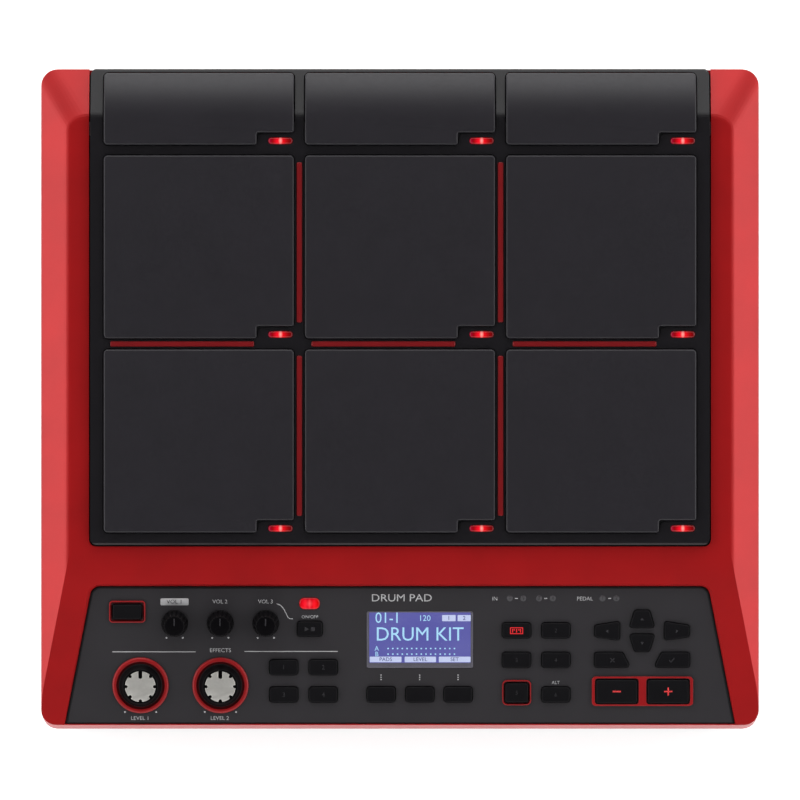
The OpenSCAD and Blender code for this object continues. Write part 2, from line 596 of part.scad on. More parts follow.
module switches_and_pots() {
    color([0.5, 0.5, 0.5]) on_panel() {
        for (k = caps) let (m = mid(k[0])) translate([m.x, m.y, 0]) {
            slab(-10.6, -6.5) square([6, 6], center = true);
            slab(-6.6, -4.2) circle(r = 1.7, $fn = 24);
        }
        for (c = concat(knob_c, control_c)) translate([c.x, c.y, 0]) difference() {
            union() {
                slab(-10.6, -4.6) square([10, 10], center = true);
                slab(-4.7, -2.5) circle(r = 3.9);
            }
            slab(-9.5, 0) circle(r = 3.25);
        }
    }
}

upper_case();
bottom_case();
rear_panel();
pad_frame();
accent_strips();
led_lenses();
control_panel();
display_window();
display_module();
trim_frames();
pad_cushions();
pad_sensors();
pad_base_plate();
circuit_boards();
panel_board();
switches_and_pots();
phone_sockets();
data_and_power_ports();
rubber_feet();
case_screws();
mount_inserts();
pad_rear_left();
pad_rear_centre();
pad_rear_right();
pad_middle_left();
pad_middle_centre();
pad_middle_right();
pad_front_left();
pad_front_centre();
pad_front_right();
master_volume_knob();
phones_volume_knob();
click_volume_knob();
control_knob_left();
control_knob_right();
control_cap_left();
control_cap_right();
power_button();
start_stop_button();
effect_button_1();
effect_button_2();
effect_button_3();
effect_button_4();
soft_button_1();
soft_button_2();
soft_button_3();
mode_button_1();
mode_button_2();
mode_button_3();
mode_button_4();
mode_button_5();
mode_button_6();
minus_button();
plus_button();
cursor_up_button();
cursor_down_button();
cursor_left_button();
cursor_right_button();
exit_button();
enter_button();
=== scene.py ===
import json
import math

import bpy
from mathutils import Matrix, Vector


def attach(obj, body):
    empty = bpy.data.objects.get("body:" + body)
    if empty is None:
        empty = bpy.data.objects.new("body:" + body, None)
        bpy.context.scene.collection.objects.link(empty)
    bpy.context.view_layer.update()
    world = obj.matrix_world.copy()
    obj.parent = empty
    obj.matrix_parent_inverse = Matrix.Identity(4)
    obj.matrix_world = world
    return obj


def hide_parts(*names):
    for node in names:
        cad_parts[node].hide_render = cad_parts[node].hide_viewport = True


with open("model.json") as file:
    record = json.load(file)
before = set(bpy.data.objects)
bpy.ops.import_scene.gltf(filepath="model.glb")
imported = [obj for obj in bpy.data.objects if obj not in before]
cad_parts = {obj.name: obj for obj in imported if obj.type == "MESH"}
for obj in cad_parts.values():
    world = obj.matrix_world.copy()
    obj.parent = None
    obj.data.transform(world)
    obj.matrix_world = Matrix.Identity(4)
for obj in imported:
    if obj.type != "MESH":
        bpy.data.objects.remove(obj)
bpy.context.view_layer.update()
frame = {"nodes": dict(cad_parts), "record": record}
N = frame["nodes"]
BODY = {n: b for b, ns in frame["record"]["behaviour"]["bodies"].items() for n in ns}
scene = bpy.context.scene
scene.view_settings.view_transform = "Standard"
MM = 0.001
DECK = Matrix.Translation((0, 0, 75.4)) @ Matrix.Rotation(math.radians(5.5), 4, "X")
PANEL = Matrix.Translation((0, -85.2, 64.57)) @ Matrix.Rotation(math.radians(12.5), 4, "X")


# ---------------------------------------------------------------- materials
def srgb(r, g, b):
    def f(c):
        c /= 255
        return c / 12.92 if c <= 0.04045 else ((c + 0.055) / 1.055) ** 2.4
    return (f(r), f(g), f(b), 1)


class Mat:
    """A principled material with small helpers for procedural detail."""

    def __init__(self, name, color, rough=0.5, metal=0.0, spec=0.5, coat=0.0, coat_rough=0.1, sheen=0.0, ior=1.5):
        self.m = bpy.data.materials.new(name)
        self.m.use_nodes = True
        self.t = self.m.node_tree
        self.p = self.t.nodes["Principled BSDF"]
        self.p.inputs["Base Color"].default_value = color
        self.p.inputs["Roughness"].default_value = rough
        self.p.inputs["Metallic"].default_value = metal
        self.p.inputs["Specular IOR Level"].default_value = spec
        self.p.inputs["Coat Weight"].default_value = coat
        self.p.inputs["Coat Roughness"].default_value = coat_rough
        self.p.inputs["Sheen Weight"].default_value = sheen
        self.p.inputs["IOR"].default_value = ior
        self.color = color
        self.normal = None

    def node(self, kind, **kw):
        n = self.t.nodes.new(kind)
        for k, v in kw.items():
            if k in n.inputs.keys():
                n.inputs[k].default_value = v
            else:
                setattr(n, k, v)
        return n

    def coords(self):
        return self.node("ShaderNodeTexCoord").outputs["Object"]

    def noise(self, scale, detail=2.0, rough=0.5):
        n = self.node("ShaderNodeTexNoise", Scale=scale, Detail=detail, Roughness=rough)
        self.t.links.new(self.coords(), n.inputs["Vector"])
        return n.outputs["Fac"]

    def vary(self, scale, dark, light, detail=3.0):
        """Base colour drifts between dark and light times the base."""
        f = self.noise(scale, detail)
        r = self.node("ShaderNodeValToRGB")
        a, b = r.color_ramp.elements
        a.position, b.position = 0.3, 0.7
        a.color = [c * dark for c in self.color[:3]] + [1]
        b.color = [min(1, c * light) for c in self.color[:3]] + [1]
        self.t.links.new(f, r.inputs["Fac"])
        self.t.links.new(r.outputs["Color"], self.p.inputs["Base Color"])
        return self

    def rough(self, scale, low, high, detail=3.0):
        f = self.noise(scale, detail)
        r = self.node("ShaderNodeMapRange")
        r.inputs["From Min"].default_value = 0.3
        r.inputs["From Max"].default_value = 0.7
        r.inputs["To Min"].default_value = low
        r.inputs["To Max"].default_value = high
        self.t.links.new(f, r.inputs["Value"])
        self.t.links.new(r.outputs["Result"], self.p.inputs["Roughness"])
        return self

    def bump(self, scale, strength, distance, detail=2.0, kind="noise"):
        if kind == "noise":
            h = self.noise(scale, detail)
        else:
            v = self.node("ShaderNodeTexVoronoi", Scale=scale)
            self.t.links.new(self.coords(), v.inputs["Vector"])
            h = v.outputs["Distance"]
        b = self.node("ShaderNodeBump", Strength=strength, Distance=distance)
        self.t.links.new(h, b.inputs["Height"])
        if self.normal is not None:
            self.t.links.new(self.normal, b.inputs["Normal"])
        self.normal = b.outputs["Normal"]
        self.t.links.new(self.normal, self.p.inputs["Normal"])
        return self

    def glow(self, color, strength):
        self.p.inputs["Emission Color"].default_value = color
        self.p.inputs["Emission Strength"].default_value = strength
        return self


red = Mat("red_case", srgb(168, 14, 17), rough=0.42, metal=0.35, spec=0.4, coat=0.12, coat_rough=0.3)
red.vary(45, 0.93, 1.07, 5).rough(1400, 0.37, 0.47).bump(3200, 0.07, 0.00004)
trim = Mat("trim_red", srgb(142, 14, 19), rough=0.4, spec=0.3, coat=0.08, coat_rough=0.25)
trim.vary(90, 0.94, 1.06).bump(3000, 0.06, 0.00004)
# a darker copy of the trim red: painted shade for the inner walls of the bezels and control rings
trim_painted_shade = Mat("trim_red_painted_shade", srgb(74, 4, 8), rough=0.5, spec=0.2)
trim_painted_shade.vary(90, 0.92, 1.08)
strip = Mat("strip_red", srgb(120, 15, 20), rough=0.42, spec=0.25)
strip.vary(120, 0.93, 1.07).bump(3000, 0.08, 0.00004)
rubber = Mat("pad_rubber", srgb(30, 28, 33), rough=0.46, spec=0.34)
rubber.vary(60, 0.94, 1.06, 4).rough(700, 0.42, 0.5).bump(2600, 0.22, 0.00006, 3.0)
black = Mat("frame_black", srgb(16, 14, 18), rough=0.4, spec=0.34)
black.vary(80, 0.92, 1.08).rough(900, 0.36, 0.44).bump(2400, 0.12, 0.00005)
case = Mat("case_black", srgb(28, 27, 29), rough=0.6, spec=0.4)
case.vary(60, 0.92, 1.08).bump(1500, 0.35, 0.0001, 3.0)
rear = Mat("rear_black", srgb(24, 24, 26), rough=0.5, spec=0.45)
rear.vary(70, 0.92, 1.08).bump(2000, 0.2, 0.00006)
charcoal = Mat("panel_charcoal", srgb(43, 41, 44), rough=0.45, spec=0.36)
charcoal.vary(50, 0.95, 1.05, 4).rough(1000, 0.4, 0.5).bump(2800, 0.14, 0.00005)
key = Mat("button_black", srgb(11, 10, 13), rough=0.5, spec=0.12)
key.vary(150, 0.92, 1.08).rough(1200, 0.46, 0.56).bump(2600, 0.08, 0.00004)
knob = Mat("knob_black", srgb(8, 7, 9), rough=0.55, spec=0.07)
knob.vary(150, 0.92, 1.08).rough(1200, 0.32, 0.42).bump(2600, 0.14, 0.00005)
grey = Mat("print_grey", srgb(172, 172, 174), rough=0.6, spec=0.2)
grey.vary(400, 0.95, 1.05)
dim = Mat("print_dark", srgb(44, 43, 46), rough=0.6, spec=0.15)
dim.vary(400, 0.95, 1.05)
mid = Mat("print_mid", srgb(74, 73, 76), rough=0.6, spec=0.15)
mid.vary(400, 0.95, 1.05)
redprint = Mat("print_red", srgb(215, 50, 52), rough=0.55, spec=0.3)
redprint.vary(400, 0.95, 1.05)
bezel = Mat("display_bezel", srgb(92, 90, 100), rough=0.35, spec=0.5)
bezel.vary(200, 0.95, 1.05).bump(2400, 0.06, 0.00004)
foot = Mat("foot_rubber", srgb(26, 26, 27), rough=0.75, spec=0.35)
foot.vary(200, 0.9, 1.1).bump(1800, 0.3, 0.0001)
steel = Mat("plate_steel", srgb(170, 172, 175), rough=0.35, metal=1.0)
steel.vary(90, 0.94, 1.04).rough(600, 0.3, 0.42)
screw = Mat("screw_steel", srgb(70, 70, 74), rough=0.35, metal=0.9)
screw.vary(400, 0.9, 1.1)
brass = Mat("brass", srgb(205, 165, 90), rough=0.32, metal=1.0)
brass.vary(300, 0.92, 1.05)
green = Mat("board_green", srgb(20, 88, 52), rough=0.4, spec=0.5)
green.vary(300, 0.85, 1.1)
plastic_grey = Mat("switch_grey", srgb(120, 120, 122), rough=0.5)
plastic_grey.vary(200, 0.93, 1.05)
foam = Mat("pad_foam", srgb(80, 80, 84), rough=0.9, spec=0.2)
foam.vary(900, 0.8, 1.15).bump(900, 0.6, 0.0003)
socket = Mat("socket_black", srgb(30, 30, 32), rough=0.4)
socket.vary(200, 0.9, 1.1).bump(2200, 0.12, 0.00005)
port = Mat("port_metal", srgb(165, 166, 170), rough=0.3, metal=1.0)
port.vary(300, 0.92, 1.04).rough(900, 0.25, 0.38)
# near-black used as painted shade in the gap round the control panel
painted_gap_shade = Mat("painted_gap_shade", srgb(12, 11, 13), rough=0.7, spec=0.2)
painted_gap_shade.vary(100, 0.9, 1.1)

# spun metal of the knob caps: fine rings round the cap's own centre
cap_mats = {}


def spun(name, centre):
    m = Mat(name, srgb(186, 184, 179), rough=0.36, metal=0.45, spec=0.4)
    geo = m.node("ShaderNodeTexCoord").outputs["Object"]
    sub = m.node("ShaderNodeVectorMath", operation="SUBTRACT")
    sub.inputs[1].default_value = centre
    m.t.links.new(geo, sub.inputs[0])
    ln = m.node("ShaderNodeVectorMath", operation="LENGTH")
    m.t.links.new(sub.outputs[0], ln.inputs[0])
    wave = m.node("ShaderNodeMath", operation="MULTIPLY")
    m.t.links.new(ln.outputs["Value"], wave.inputs[0])
    wave.inputs[1].default_value = 16000.0
    sn = m.node("ShaderNodeMath", operation="SINE")
    m.t.links.new(wave.outputs[0], sn.inputs[0])
    nz = m.noise(900, 3)
    add = m.node("ShaderNodeMath", operation="MULTIPLY_ADD")
    m.t.links.new(nz, add.inputs[0])
    add.inputs[1].default_value = 1.6
    m.t.links.new(sn.outputs[0], add.inputs[2])
    b = m.node("ShaderNodeBump", Strength=0.12, Distance=0.00004)
    m.t.links.new(add.outputs[0], b.inputs["Height"])
    m.t.links.new(b.outputs["Normal"], m.p.inputs["Normal"])
    m.p.inputs["Anisotropic"].default_value = 0.4
    return m.vary(500, 0.95, 1.03)


def lens_material(name, centre, half_w, half_d, stops, core):
    """A lit lens: stops colour it across its width, it fades to its long edges, and a small core sits in the middle."""
    m = Mat(name, srgb(70, 4, 8), rough=0.22, spec=0.35)
    sub = m.node("ShaderNodeVectorMath", operation="SUBTRACT")
    sub.inputs[1].default_value = centre
    m.t.links.new(m.coords(), sub.inputs[0])
    sep = m.node("ShaderNodeSeparateXYZ")
    m.t.links.new(sub.outputs[0], sep.inputs[0])

    def mapped(out, lo, hi):
        r = m.node("ShaderNodeMapRange")
        r.inputs["From Min"].default_value = lo
        r.inputs["From Max"].default_value = hi
        m.t.links.new(out, r.inputs["Value"])
        return r.outputs["Result"]
    ramp = m.node("ShaderNodeValToRGB")
    els = ramp.color_ramp.elements
    els[0].position, els[0].color = stops[0][0], list(stops[0][1]) + [1]
    els[1].position, els[1].color = stops[-1][0], list(stops[-1][1]) + [1]
    for pos, c in stops[1:-1]:
        e = els.new(pos)
        e.color = list(c) + [1]
    m.t.links.new(mapped(sep.outputs["X"], -half_w, half_w), ramp.inputs["Fac"])
    fade = m.node("ShaderNodeValToRGB")
    els = fade.color_ramp.elements
    els[0].position, els[0].color = 0.0, (0.3, 0.3, 0.3, 1)
    els[1].position, els[1].color = 1.0, (0.12, 0.12, 0.12, 1)
    for pos, v in ((0.16, 0.95), (0.5, 1.0), (0.8, 0.8)):
        e = els.new(pos)
        e.color = (v, v, v, 1)
    m.t.links.new(mapped(sep.outputs["Y"], -half_d, half_d), fade.inputs["Fac"])
    mul = m.node("ShaderNodeVectorMath", operation="MULTIPLY")
    m.t.links.new(ramp.outputs["Color"], mul.inputs[0])
    m.t.links.new(fade.outputs["Color"], mul.inputs[1])
    sc = m.node("ShaderNodeVectorMath", operation="MULTIPLY")
    sc.inputs[1].default_value = core[0]
    m.t.links.new(sub.outputs[0], sc.inputs[0])
    ln = m.node("ShaderNodeVectorMath", operation="LENGTH")
    m.t.links.new(sc.outputs[0], ln.inputs[0])
    hot = m.node("ShaderNodeValToRGB")
    els = hot.color_ramp.elements
    els[0].position, els[0].color = 0.0, list(core[1]) + [1]
    els[1].position, els[1].color = 1.0, (0, 0, 0, 1)
    m.t.links.new(ln.outputs["Value"], hot.inputs["Fac"])
    add_ = m.node("ShaderNodeVectorMath", operation="ADD")
    m.t.links.new(mul.outputs[0], add_.inputs[0])
    m.t.links.new(hot.outputs["Color"], add_.inputs[1])
    m.t.links.new(add_.outputs[0], m.p.inputs["Emission Color"])
    m.p.inputs["Emission Strength"].default_value = 1.0
    wv = m.node("ShaderNodeTexWave", Scale=260.0, Distortion=0.0, bands_direction="X")
    m.t.links.new(m.coords(), wv.inputs["Vector"])
    bp = m.node("ShaderNodeBump", Strength=0.2, Distance=0.00006)
    m.t.links.new(wv.outputs["Fac"], bp.inputs["Height"])
    m.t.links.new(bp.outputs["Normal"], m.p.inputs["Normal"])
    return m


def emissive(name, color, strength=1.0):
    m = Mat(name, [c * 0.1 for c in color[:3]] + [1], rough=0.3, spec=0.1)
    m.glow(color, strength)
    m.bump(2000, 0.02, 0.00002)
    return m


# ---------------------------------------------------------------- mesh helpers
def unit(v):
    n = math.hypot(*v)
    return (v[0] / n, v[1] / n)


def arc(a, v, b, r, n):
    """Points that round the corner v between a and b."""
    u, w = unit((a[0] - v[0], a[1] - v[1])), unit((b[0] - v[0], b[1] - v[1]))
    h = math.acos(max(-1, min(1, u[0] * w[0] + u[1] * w[1]))) / 2
    m = unit((u[0] + w[0], u[1] + w[1]))
    c = (v[0] + m[0] * r / math.sin(h), v[1] + m[1] * r / math.sin(h))
    p = (v[0] + u[0] * r / math.tan(h), v[1] + u[1] * r / math.tan(h))
    q = (v[0] + w[0] * r / math.tan(h), v[1] + w[1] * r / math.tan(h))
    s = math.atan2(p[1] - c[1], p[0] - c[0])
    d = (math.atan2(q[1] - c[1], q[0] - c[0]) - s + 3 * math.pi) % (2 * math.pi) - math.pi
    return [(c[0] + r * math.cos(s + d * i / n), c[1] + r * math.sin(s + d * i / n)) for i in range(n + 1)]


def soft(p, r, n=6):
    rs = r if isinstance(r, (list, tuple)) else [r] * len(p)
    out = []
    for i in range(len(p)):
        out += arc(p[i - 1], p[i], p[(i + 1) % len(p)], rs[i], n) if rs[i] > 0 else [p[i]]
    return out


def rect(w, d, cx=0, cy=0):
    return [(cx - w / 2, cy - d / 2), (cx + w / 2, cy - d / 2), (cx + w / 2, cy + d / 2), (cx - w / 2, cy + d / 2)]


def grown(p, g):
    """The counter-clockwise outline p, moved outwards by g."""
    out = []
    n = len(p)
    for i in range(n):
        a = unit((p[i][0] - p[i - 1][0], p[i][1] - p[i - 1][1]))
        b = unit((p[(i + 1) % n][0] - p[i][0], p[(i + 1) % n][1] - p[i][1]))
        na, nb = (a[1], -a[0]), (b[1], -b[0])
        k = g / (1 + na[0] * nb[0] + na[1] * nb[1])
        out.append((p[i][0] + (na[0] + nb[0]) * k, p[i][1] + (na[1] + nb[1]) * k))
    return out


def finish_mesh(name, verts, faces, place, mat, mats=None, face_mats=None, smooth=35):
    me = bpy.data.meshes.new(name)
    m = Matrix.Scale(MM, 4) @ place
    me.from_pydata([m @ Vector(v) for v in verts], [], faces)
    me.validate()
    for x in mats or [mat]:
        me.materials.append(x.m)
    if face_mats:
        for f, i in zip(me.polygons, face_mats):
            f.material_index = i
    for f in me.polygons:
        f.use_smooth = True
    me.update()
    ob = bpy.data.objects.new(name, me)
    scene.collection.objects.link(ob)
    if smooth:
        sharpen(me, smooth)
    return ob


def sharpen(me, degrees):
    """Marks edges sharper than an angle, so that smooth shading stops there."""
    import bmesh
    bm = bmesh.new()
    bm.from_mesh(me)
    lim = math.radians(degrees)
    for ed in bm.edges:
        if len(ed.link_faces) == 2:
            ed.smooth = ed.calc_face_angle(0) < lim
        else:
            ed.smooth = False
    bm.to_mesh(me)
    bm.free()


def rings_mesh(rings, cap_low=True, cap_high=True):
    """Stacked outlines of equal length, joined by quads and capped."""
    n = len(rings[0])
    verts = [v for r in rings for v in r]
    faces = []
    for k in range(len(rings) - 1):
        for i in range(n):
            j = (i + 1) % n
            faces.append((k * n + i, k * n + j, (k + 1) * n + j, (k + 1) * n + i))
    if cap_low:
        faces.append(tuple(reversed(range(n))))
    if cap_high:
        faces.append(tuple(range((len(rings) - 1) * n, len(rings) * n)))
    return verts, faces


def edge_rings(outline, z0, z1, r, steps=5, dish=0.0, dish_in=1.0):
    """Rings of a prism whose upper edge is rounded by r; dish sinks the middle of the top a little."""
    rings = [[(x, y, z0) for x, y in outline], [(x, y, z1 - r) for x, y in outline]]
    for i in range(1, steps + 1):
        a = math.pi / 2 * i / steps
        o = grown(outline, -r * (1 - math.cos(a)))
        rings.append([(x, y, z1 - r + r * math.sin(a)) for x, y in o])
    if dish:
        o = grown(outline, -r - dish_in * 0.5)
        rings.append([(x, y, z1 - dish * 0.5) for x, y in o])
        o = grown(outline, -r - dish_in)
        rings.append([(x, y, z1 - dish) for x, y in o])
    return rings


def prism(name, outline, z0, z1, r, place, mat, dish=0.0, dish_in=1.0, steps=5):
    v, f = rings_mesh(edge_rings(outline, z0, z1, r, steps, dish, dish_in))
    return finish_mesh(name, v, f, place, mat)


def lathe(profile, centre, seg=96):
    """Verts and faces of a profile [(r, z)] turned about a vertical axis at centre; r = 0 closes it."""
    cx, cy = centre
    verts, faces, rows = [], [], []
    for r, z in profile:
        if r < 1e-6:
            rows.append([len(verts)])
            verts.append((cx, cy, z))
        else:
            rows.append(list(range(len(verts), len(verts) + seg)))
            verts += [(cx + r * math.cos(2 * math.pi * i / seg), cy + r * math.sin(2 * math.pi * i / seg), z) for i in range(seg)]
    for a, b in zip(rows, rows[1:]):
        for i in range(seg):
            j = (i + 1) % seg
            if len(a) == 1 and len(b) == 1:
                continue
            if len(a) == 1:
                faces.append((a[0], b[j], b[i]))
            elif len(b) == 1:
                faces.append((a[i], a[j], b[0]))
            else:
                faces.append((a[i], a[j], b[j], b[i]))
    return verts, faces


def ride(ob, node, *replaced, slot=None):
    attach(ob, BODY[node])
    if replaced:
        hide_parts(*replaced)
    return ob


def dress(node, mat, bevel=0.0, angle=28, segments=3):
    """A CAD node keeps its mesh and gets a material, and small rounds on its edges."""
    ob = N[node]
    if not ob.data.materials:
        ob.data.materials.append(mat.m)
    for i in range(len(ob.data.materials)):
        ob.data.materials[i] = mat.m
    for s in ob.material_slots:
        s.material = mat.m
    if bevel:
        w = ob.modifiers.new("weld", "WELD")
        w.merge_threshold = 0.000004
        b = ob.modifiers.new("rounds", "BEVEL")
        b.width = bevel * MM
        b.segments = segments
        b.limit_method = "ANGLE"
        b.angle_limit = math.radians(angle)
        b.use_clamp_overlap = True
        b.harden_normals = False
        b.miter_outer = "MITER_ARC"
        n = ob.modifiers.new("normals", "WEIGHTED_NORMAL")
        n.keep_sharp = True
        n.weight = 80


# ---------------------------------------------------------------- shells (CAD nodes)
dress("upper_case", red, 0.5, 20)
dress("bottom_case", case, 0.5, 30)
dress("rear_panel", rear)
dress("pad_frame", black, 0.35, 20)
dress("control_panel", charcoal, 0.0)
dress("display_module", dim)
dress("pad_cushions", foam)
dress("pad_sensors", brass)
dress("pad_base_plate", steel)
dress("circuit_boards", green)
dress("panel_board", green)
dress("switches_and_pots", plastic_grey)
dress("phone_sockets", socket)
dress("data_and_power_ports", port)
dress("case_screws", screw)
dress("mount_inserts", brass)
dress("rubber_feet", foot, 0.4, 30)

# ---------------------------------------------------------------- pads
PAD_W, PAD_D, PAD_H, ROW1_D = 96.0, 92.4, 5.0, 36.5
PITCH = 101.5
ROWS = [("rear", 144.45, ROW1_D), ("middle", 74.7, PAD_D), ("front", -23.2, PAD_D)]
COLS = [("left", -1), ("centre", 0), ("right", 1)]
CREASE = 141.0
NW, NH = 18.8, 6.2
y1 = 144.45 + ROW1_D / 2
RUN, DROP = y1 - CREASE + 2, 9.0
ANG = 2 * math.atan(DROP / RUN)
BIG = RUN / math.sin(ANG)


def rear_drop(y):
    """How far the top of a rear pad has rounded down at deck-plane y."""
    t = y - (y1 - RUN)
    if t <= 0:
        return 0.0
    t = min(t, RUN)
    return BIG - math.sqrt(BIG * BIG - t * t)


def pad_outline(cx, cy, d, r=2.0, n=8):
    w, h = PAD_W / 2, d / 2
    p = [(-w, -h), (w - NW, -h), (w - NW, -h + NH), (w, -h + NH), (w, h), (-w, h)]
    p = [(cx + x, cy + y) for x, y in p]
    return soft(p, [r, r * 0.6, r * 0.5, r * 0.6, r, r], n)


def densify(p, step):
    out = []
    for i, a in enumerate(p):
        b = p[(i + 1) % len(p)]
        out.append(a)
        k = int(math.dist(a, b) // step)
        out += [(a[0] + (b[0] - a[0]) * j / (k + 1), a[1] + (b[1] - a[1]) * j / (k + 1)) for j in range(1, k + 1)]
    return out


def pad(name, cx, cy, d, rear_pad):
    import bmesh
    outline = pad_outline(cx, cy, d)
    # the moulded edge: a small round
    rings = edge_rings(outline, 0.0, 1.0, 0.0001, 1)[:1]
    top, r = PAD_H, 0.9
    rings = [[(x, y, -1.0) for x, y in outline], [(x, y, top - r) for x, y in outline]]
    for i in range(1, 7):
        a = math.pi / 2 * i / 6
        rings.append([(x, y, top - r + r * math.sin(a)) for x, y in grown(outline, -r * (1 - math.cos(a)))])
    verts, faces = rings_mesh(rings)
    bm = bmesh.new()
    vs = [bm.verts.new(v) for v in verts]
    for f in faces:
        bm.faces.new([vs[i] for i in f])
    if rear_pad:
        cuts = [y1 - RUN + RUN * k / 22 for k in range(22)]
        for y in cuts:
            bmesh.ops.bisect_plane(bm, geom=bm.verts[:] + bm.edges[:] + bm.faces[:], plane_co=(0, y, 0), plane_no=(0, 1, 0), dist=1e-5)
        for v in bm.verts:
            if v.co.z > 0:
                v.co.z -= rear_drop(v.co.y)
            else:
                v.co.z -= max(0.0, (v.co.y - CREASE)) * 9.0 / 23.7
    bmesh.ops.recalc_face_normals(bm, faces=bm.faces[:])
    verts = [tuple(v.co) for v in bm.verts]
    bm.verts.index_update()
    faces = [tuple(v.index for v in f.verts) for f in bm.faces]
    bm.free()
    return finish_mesh(name, verts, faces, DECK, rubber, smooth=30)


for rn, cy, d in ROWS:
    for cn, k in COLS:
        node = f"pad_{rn}_{cn}"
        ob = pad(node + "_skin", k * PITCH, cy, d, rn == "rear")
        ride(ob, node, node, slot="pad_rubber")

# ---------------------------------------------------------------- lights and strips
LENS = [(0.0, (0.16, 0.0, 0.01)), (0.08, (0.3, 0.0, 0.02)), (0.17, (0.24, 0.0, 0.0)), (0.36, (0.92, 0.004, 0.02)), (0.5, (1.0, 0.02, 0.03)),
        (0.62, (0.8, 0.003, 0.01)), (0.74, (0.4, 0.002, 0.003)), (0.84, (0.2, 0.0, 0.0)), (1.0, (0.06, 0.0, 0.002))]
for rn, cy, d in ROWS:
    for cn, k in COLS:
        x, y = k * PITCH + 41.2, cy - d / 2 + 2.1
        c = MM * (DECK @ Vector((x, y, 3.4)))
        m = lens_material(f"lens_{rn}_{cn}", tuple(c), 0.0062, 0.0017, LENS, ((900, 480, 0), (0.2, 0.42, 0.36)))
        o = soft(rect(12.4, 3.4, x, y), 1.65, 8)
        ob = prism(f"pad_light_{rn}_{cn}", o, 0.95, 3.5, 0.9, DECK, m)
        ride(ob, "led_lenses", "led_lenses", slot="lens_red")
x, y = -45.7, -19.6
c = MM * (PANEL @ Vector((x, y, 0.6)))
CLICK = [(0.0, (0.25, 0.0, 0.0)), (0.15, (0.8, 0.0, 0.01)), (0.3, (1.0, 0.015, 0.03)), (0.42, (0.75, 0.0, 0.015)), (0.5, (1.0, 0.03, 0.045)),
         (0.6, (0.75, 0.0, 0.01)), (0.72, (1.0, 0.01, 0.02)), (0.88, (0.7, 0.0, 0.0)), (1.0, (0.2, 0.0, 0.0))]
m = lens_material("lens_click", tuple(c), 0.0053, 0.003, CLICK, ((500, 500, 0), (0.0, 0.06, 0.06)))
ob = prism("click_light", soft(rect(10.5, 5.9, x, y), 2.85, 8), -2.1, 0.7, 0.8, PANEL, m)
ride(ob, "led_lenses", "led_lenses", slot="lens_red")

STRIP_W = 2.9
strips = [(k * PITCH - 8.4, 25.75, 72.6, STRIP_W) for _, k in COLS]
strips += [(s * PITCH, yy, STRIP_W, 80.8) for s in (-0.5, 0.5) for yy in (77, -20.6)]
for i, (x, y, w, d) in enumerate(strips):
    ob = prism(f"accent_strip_{i + 1}", soft(rect(w, d, x, y), 0.8, 5), 2.1, 3.5, 0.6, DECK, strip)
    ride(ob, "accent_strips", "accent_strips", slot="accent_red")

# ---------------------------------------------------------------- panel buttons
power = (rect(14.6, 7.4, -137.8, -23.75), 0.9)
start = (rect(12.6, 7.7, -45.6, -32.5), 1.5)
fx = [(rect(14.3, 7.8, x, y), 1.6) for x, y in ((-58.8, -52.1), (-38.8, -52.1), (-58.8, -66.1), (-38.8, -66.1))]
soft_b = [(rect(14.4, 7.8, x, -66), 1.6) for x in (-9.5, 10, 29.4)]
mode = [(rect(14.4, 7.8, x, y), 1.6) for x, y in ((58.9, -33.3), (78.75, -33.3), (58.9, -48.4), (78.75, -48.4))]
mode += [(rect(11.5, 9.7, 59, -65.1), 1.2), (rect(14.4, 7.8, 78.75, -66.1), 1.6)]
value = [(rect(20.7, 11.8, x, -64.35), 1.2) for x in (109.6, 135.6)]
slanted = {
    "cursor_up_button": [(115.8, -31.9), (128.8, -31.9), (126, -23), (118.6, -23)],
    "cursor_down_button": [(118.6, -44.1), (126, -44.1), (128.8, -35.2), (115.8, -35.2)],
    "cursor_left_button": [(98.3, -36.5), (111, -38.4), (111, -28.7), (98.3, -30.7)],
    "cursor_right_button": [(133.6, -38.4), (146.3, -36.5), (146.3, -30.7), (133.6, -28.7)],
    "exit_button": [(98.3, -52.2), (116.4, -52.2), (112.6, -44.5), (98.3, -44.5)],
    "enter_button": [(128.3, -52.2), (146.4, -52.2), (146.4, -44.5), (132.1, -44.5)],
}
caps = {"power_button": power, "start_stop_button": start, "minus_button": value[0], "plus_button": value[1]}
caps.update({f"effect_button_{i + 1}": b for i, b in enumerate(fx)})
caps.update({f"soft_button_{i + 1}": b for i, b in enumerate(soft_b)})
caps.update({f"mode_button_{i + 1}": b for i, b in enumerate(mode)})
caps.update({n: (p, 1.3) for n, p in slanted.items()})
for n, (p, r) in caps.items():
    o = soft(p, r, 6)
    rings = [[(x, y, -3.4) for x, y in o], [(x, y, 1.6 - 0.55) for x, y in o]]
    for i in range(1, 6):
        a = math.pi / 2 * i / 5
        rings.append([(x, y, 1.05 + 0.55 * math.sin(a)) for x, y in grown(o, -0.55 * (1 - math.cos(a)))])
    rings.append([(x, y, 1.57) for x, y in grown(o, -0.85)])
    v, f = rings_mesh(rings)
    ob = finish_mesh(n + "_cap", v, f, PANEL, key)
    ride(ob, n, n, slot="button_black")


# ---------------------------------------------------------------- red trim
def ring_frame(name, inner, inner_r, band, h=1.1, w=0.42):
    """A bezel round a button: level top band, rounded outside, drafted inside; the inner wall is coloured with a darker
    copy of the red as painted shade.
    """
    outer = grown(soft(inner, inner_r, 6), band)
    o = soft(inner, inner_r, 6)
    prof = [(band, 0.0), (band, h - 0.3), (band - 0.1, h - 0.08), (band - 0.3, h), (w + 0.2, h), (w + 0.06, h - 0.08), (w, h - 0.3), (0.12, 0.04), (0.0, 0.0)]
    rings = [[(x, y, z) for x, y in grown(o, g)] for g, z in prof]
    v, f = rings_mesh(rings + [rings[0]], False, False)
    n = len(o)
    # faces of the inner wall take the darker red: painted shade
    return finish_mesh(name, v, f, PANEL, trim, [trim, trim_painted_shade], [1 if 5 * n <= i < 8 * n else 0 for i in range(len(f))])


